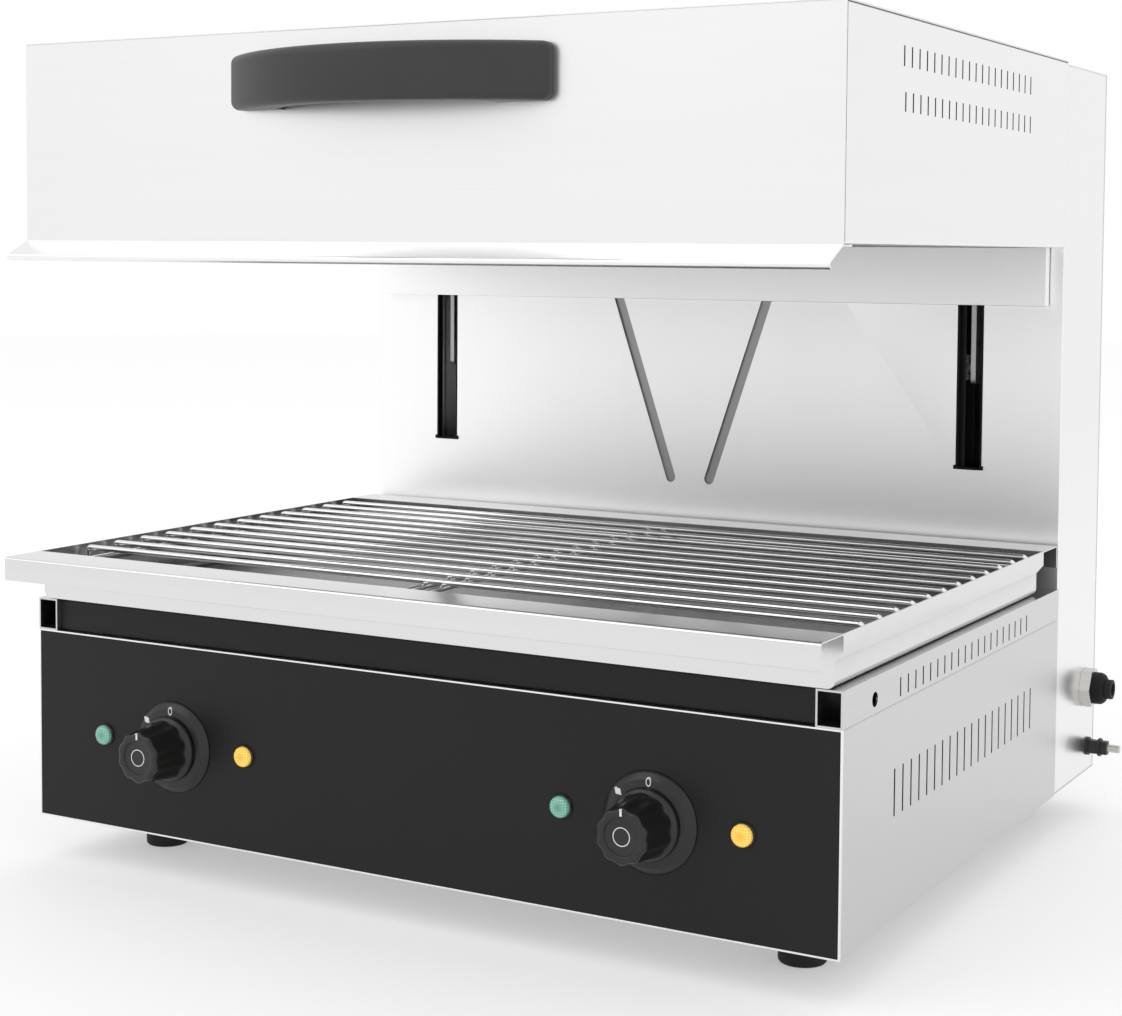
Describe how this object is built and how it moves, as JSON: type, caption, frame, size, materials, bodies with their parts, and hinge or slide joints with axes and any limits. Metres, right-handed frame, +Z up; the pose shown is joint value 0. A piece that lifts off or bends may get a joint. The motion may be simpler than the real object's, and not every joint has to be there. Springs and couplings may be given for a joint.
{
  "type": "cheese melter",
  "caption": "Counter-top cheese melter with a heated head that lifts on a rear column over a drip tray and wire grid, with two rotary controls in the base.",
  "frame": {"origin": "on the floor under the middle of the whole outline", "axes": "+Z up, -Y out of the control panel, +X to the right side with the cable gland"},
  "size_m": [0.624, 0.5818, 0.566],
  "materials": {
    "stainless": "brushed satin stainless sheet",
    "black_panel": "satin black enamel on steel",
    "zinc_steel": "galvanised sheet",
    "chrome_wire": "bright chrome plate",
    "rubber": "matt rubber",
    "black_plastic": "satin black phenolic plastic",
    "regulator_plastic": "moulded thermoset",
    "green_lens": "clear faceted lens",
    "amber_lens": "clear faceted lens",
    "element_sheath": "heat-darkened steel sheath",
    "insulation": "ceramic fibre blanket",
    "spring_tube": "black painted tube",
    "polished_rod": "ground and plated rod",
    "roller_plastic": "white acetal",
    "nickel": "nickel plate",
    "dark_steel": "blackened steel"
  },
  "bodies": {
    "housing": {"base_side_right": "stainless", "base_side_left": "stainless", "base_pan": "zinc_steel", "base_deck": "stainless", "front_chassis": "stainless", "front_panel": "black_panel", "side_rails": "stainless", "rail_screws": "zinc_steel", "cross_panel": "black_panel", "feet": "rubber", "foot_nuts": "zinc_steel", "lamp_bezels": "black_plastic", "lamp_lenses_green": "green_lens", "lamp_lenses_amber": "amber_lens", "dial_plates": "black_plastic", "regulators": "regulator_plastic", "column_front": "stainless", "column_side_right": "stainless", "column_side_left": "stainless", "column_back": "stainless", "back_screws": "zinc_steel", "column_top": "stainless", "slot_liners": "black_plastic", "guide_rails": "zinc_steel", "spring_bracket": "zinc_steel", "lift_spring_cylinders": "spring_tube", "terminal_block": "regulator_plastic", "gland_body": "nickel", "gland_locknut": "zinc_steel", "gland_cap": "nickel", "gland_seal": "rubber", "bonding_stud": "polished_rod", "bonding_nuts": "dark_steel"},
    "head": {"hood_front": "stainless", "hood_side_right": "stainless", "hood_side_left": "stainless", "hood_top": "stainless", "hood_back": "stainless", "rear_apron": "stainless", "deflector_lip": "stainless", "handle": "black_plastic", "handle_screws": "zinc_steel", "heat_reflector": "zinc_steel", "insulation": "insulation", "heating_elements": "element_sheath", "element_hangers": "zinc_steel", "lift_arms": "zinc_steel", "carriage_beam": "zinc_steel", "lift_spring_rods": "polished_rod", "roller_axles": "zinc_steel"},
    "drip_tray": {"drip_tray": "stainless"},
    "wire_grid": {"wire_grid": "chrome_wire"},
    "knob_left": {"knob_left": "black_plastic", "control_shaft_left": "zinc_steel"},
    "knob_right": {"knob_right": "black_plastic", "control_shaft_right": "zinc_steel"},
    "roller_lower_left": {"roller_lower_left": "roller_plastic"},
    "roller_upper_left": {"roller_upper_left": "roller_plastic"},
    "roller_lower_right": {"roller_lower_right": "roller_plastic"},
    "roller_upper_right": {"roller_upper_right": "roller_plastic"}
  },
  "joints": [
    {"name": "head_lift", "type": "slide", "parent": "housing", "child": "head", "axis": [0, 0, 1], "range_m": [-0.12, 0]},
    {"name": "tray_slide", "type": "slide", "parent": "housing", "child": "drip_tray", "axis": [0, -1, 0], "range_m": [0, 0.25]},
    {"name": "grid_lift", "type": "slide", "parent": "drip_tray", "child": "wire_grid", "axis": [0, 0, 1], "range_m": [0, 0.03]},
    {"name": "knob_left_turn", "type": "hinge", "parent": "housing", "child": "knob_left", "pos_m": [-0.192, -0.2519, 0.0925], "axis": [0, 1, 0], "range_deg": [0, 300]},
    {"name": "knob_right_turn", "type": "hinge", "parent": "housing", "child": "knob_right", "pos_m": [0.168, -0.2519, 0.0925], "axis": [0, 1, 0], "range_deg": [0, 300]},
    {"name": "roller_lower_left_turn", "type": "hinge", "parent": "head", "child": "roller_lower_left", "pos_m": [-0.23, 0.2041, 0.342], "axis": [1, 0, 0], "range_deg": [-713.8, 5]},
    {"name": "roller_upper_left_turn", "type": "hinge", "parent": "head", "child": "roller_upper_left", "pos_m": [-0.23, 0.2041, 0.516], "axis": [1, 0, 0], "range_deg": [-713.8, 5]},
    {"name": "roller_lower_right_turn", "type": "hinge", "parent": "head", "child": "roller_lower_right", "pos_m": [0.206, 0.2041, 0.342], "axis": [1, 0, 0], "range_deg": [-713.8, 5]},
    {"name": "roller_upper_right_turn", "type": "hinge", "parent": "head", "child": "roller_upper_right", "pos_m": [0.206, 0.2041, 0.516], "axis": [1, 0, 0], "range_deg": [-713.8, 5]}
  ],
  "couplings": [
    {"joint": "roller_lower_left_turn", "follows": "head_lift", "rad_per_m": 103.09},
    {"joint": "roller_upper_left_turn", "follows": "head_lift", "rad_per_m": 103.09},
    {"joint": "roller_lower_right_turn", "follows": "head_lift", "rad_per_m": 103.09},
    {"joint": "roller_upper_right_turn", "follows": "head_lift", "rad_per_m": 103.09}
  ]
}
